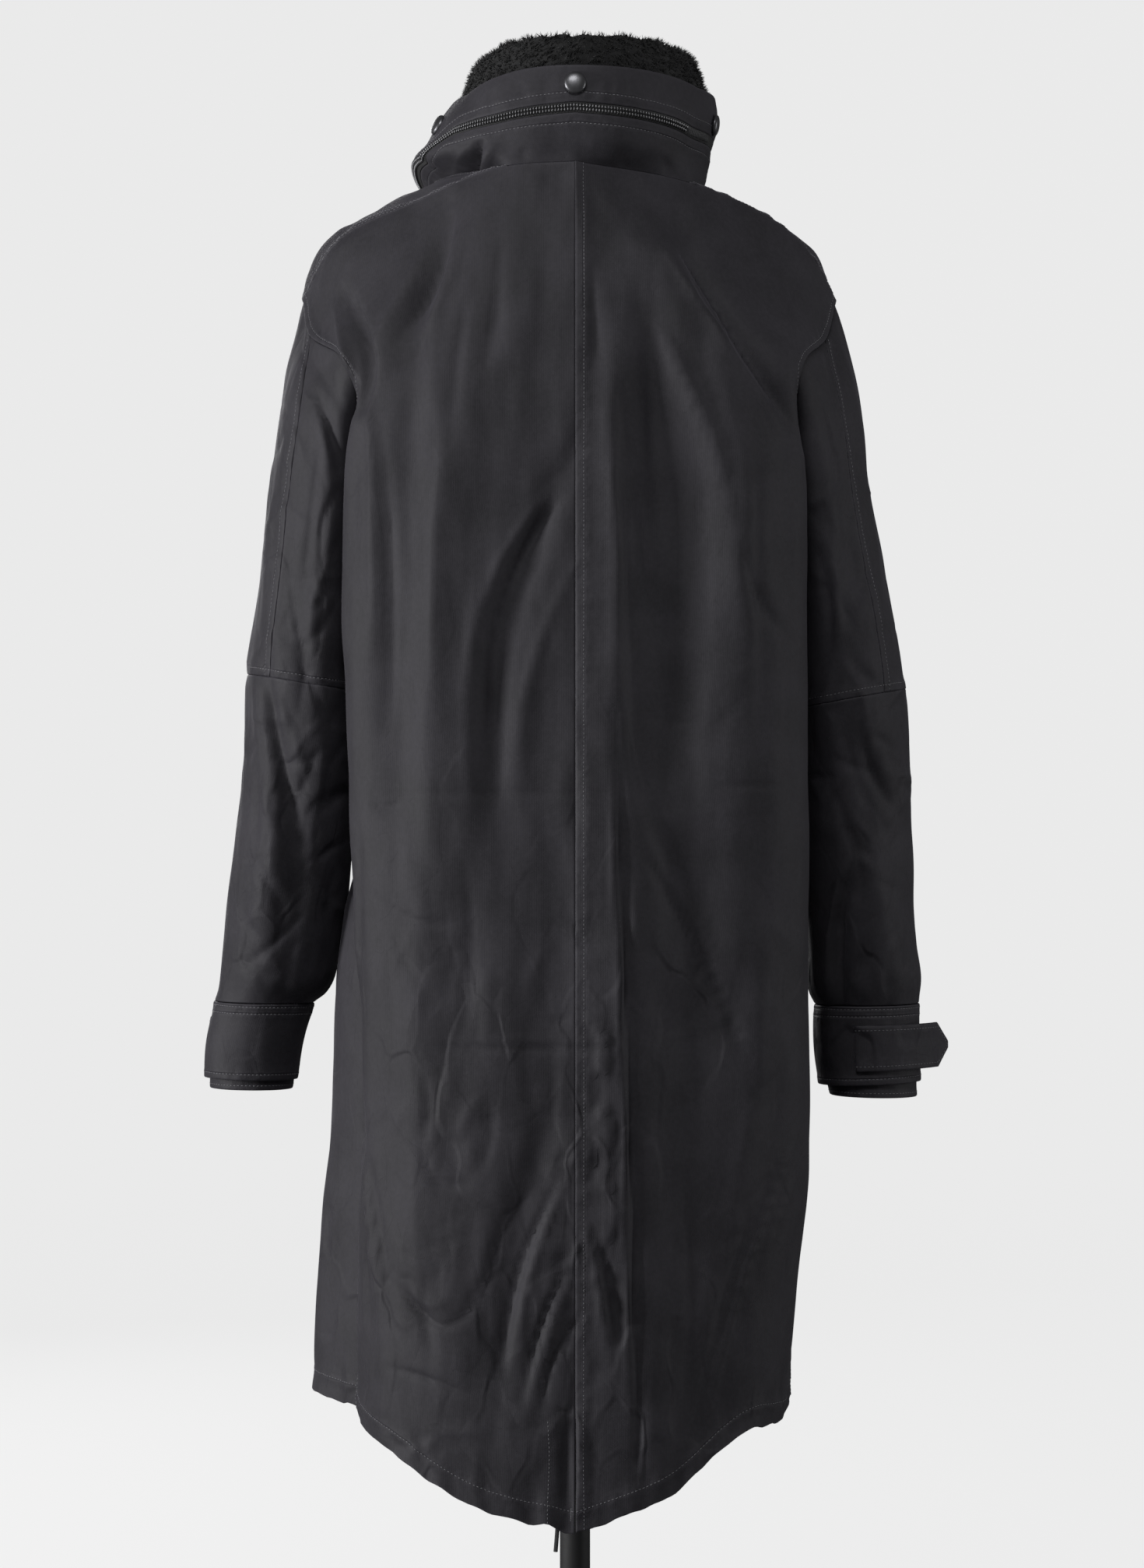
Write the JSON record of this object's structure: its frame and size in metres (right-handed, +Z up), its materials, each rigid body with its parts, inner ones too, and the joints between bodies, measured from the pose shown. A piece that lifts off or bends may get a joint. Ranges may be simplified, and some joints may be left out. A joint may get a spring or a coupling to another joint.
{
  "type": "raincoat on a limbless dress form with a stand",
  "caption": "Long fishtail rain parka with a pile-lined stand collar, collar zip and strapped cuffs, worn open at neck, hem and cuffs on a limbless dress form with a pole and round base.",
  "frame": {"origin": "middle of the base's underside, on the floor, below the pole", "axes": "+Z up along the pole, +Y towards the wearer's front, +X towards the wearer's right"},
  "size_m": [0.6249, 0.34, 1.6102],
  "materials": {
    "shell": "coated dense cotton, soft sheen",
    "pile": "short curly pile",
    "zip": "moulded chain on woven tape",
    "snap": "dark satin cap",
    "cord": "braided cord",
    "form": "plain linen cover",
    "stand": "black satin paint"
  },
  "bodies": {
    "root": {"back_left": "shell", "back_right": "shell", "front_left": "shell", "front_right": "shell", "front_fly": "shell", "fly_snap_1": "snap", "fly_snap_2": "snap", "fly_snap_3": "snap", "fly_snap_4": "snap", "fly_snap_5": "snap", "sleeve_upper_back_left": "shell", "sleeve_upper_front_left": "shell", "sleeve_lower_left": "shell", "cuff_left": "shell", "cuff_inner_left": "shell", "cuff_strap_left": "shell", "sleeve_upper_back_right": "shell", "sleeve_upper_front_right": "shell", "sleeve_lower_right": "shell", "cuff_right": "shell", "cuff_inner_right": "shell", "cuff_strap_right": "shell", "collar_lower": "shell", "collar_upper": "shell", "collar_zip": "zip", "collar_snap_centre": "snap", "collar_snap_left": "snap", "collar_snap_right": "snap", "collar_pile": "pile", "hem_cord": "cord", "dress_form": "form", "pole": "stand", "base": "stand"}
  },
  "joints": []
}
